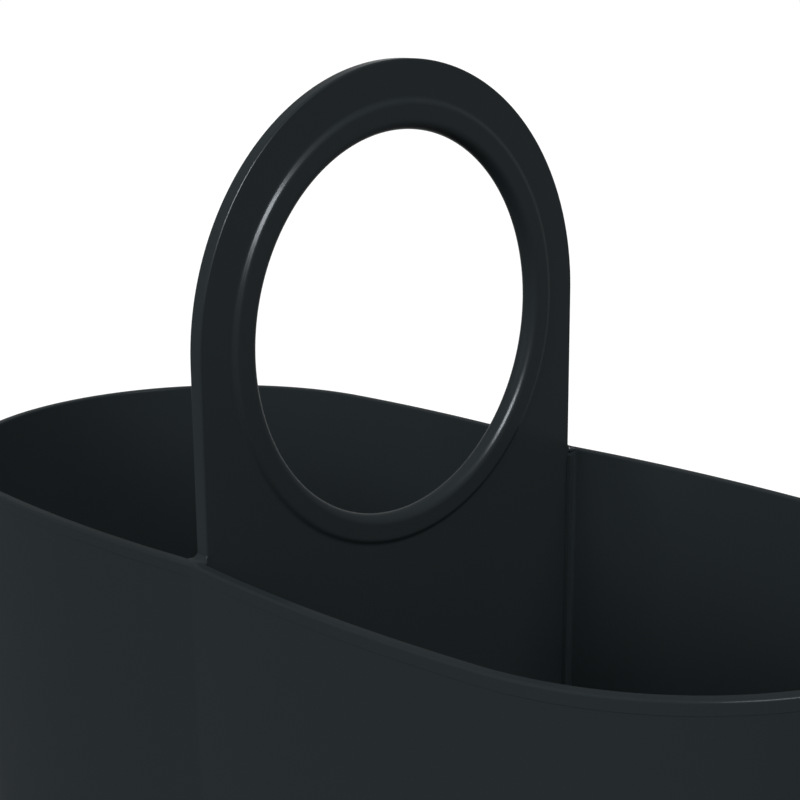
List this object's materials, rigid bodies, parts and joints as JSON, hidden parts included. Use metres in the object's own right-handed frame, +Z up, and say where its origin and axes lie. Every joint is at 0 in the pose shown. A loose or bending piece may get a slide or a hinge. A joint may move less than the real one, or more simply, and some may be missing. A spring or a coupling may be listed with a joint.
{
  "type": "tool storage caddy",
  "caption": "Carrying caddy with two deep round-ended compartments and an upright divider panel whose half-round top is a handle with a large band-edged hand hole.",
  "frame": {"origin": "on the table, under the middle of the tub and in the plane of the divider panel", "axes": "+X along the tub, across the divider panel; +Y along the divider panel; +Z up"},
  "size_m": [0.3288, 0.1568, 0.2414],
  "materials": {
    "tub_plastic": "satin",
    "handle_plastic": "satin",
    "screw_steel": "zinc plated"
  },
  "bodies": {
    "root": {"tub": "tub_plastic", "divider_handle": "handle_plastic", "divider_screws": "screw_steel"}
  },
  "joints": []
}
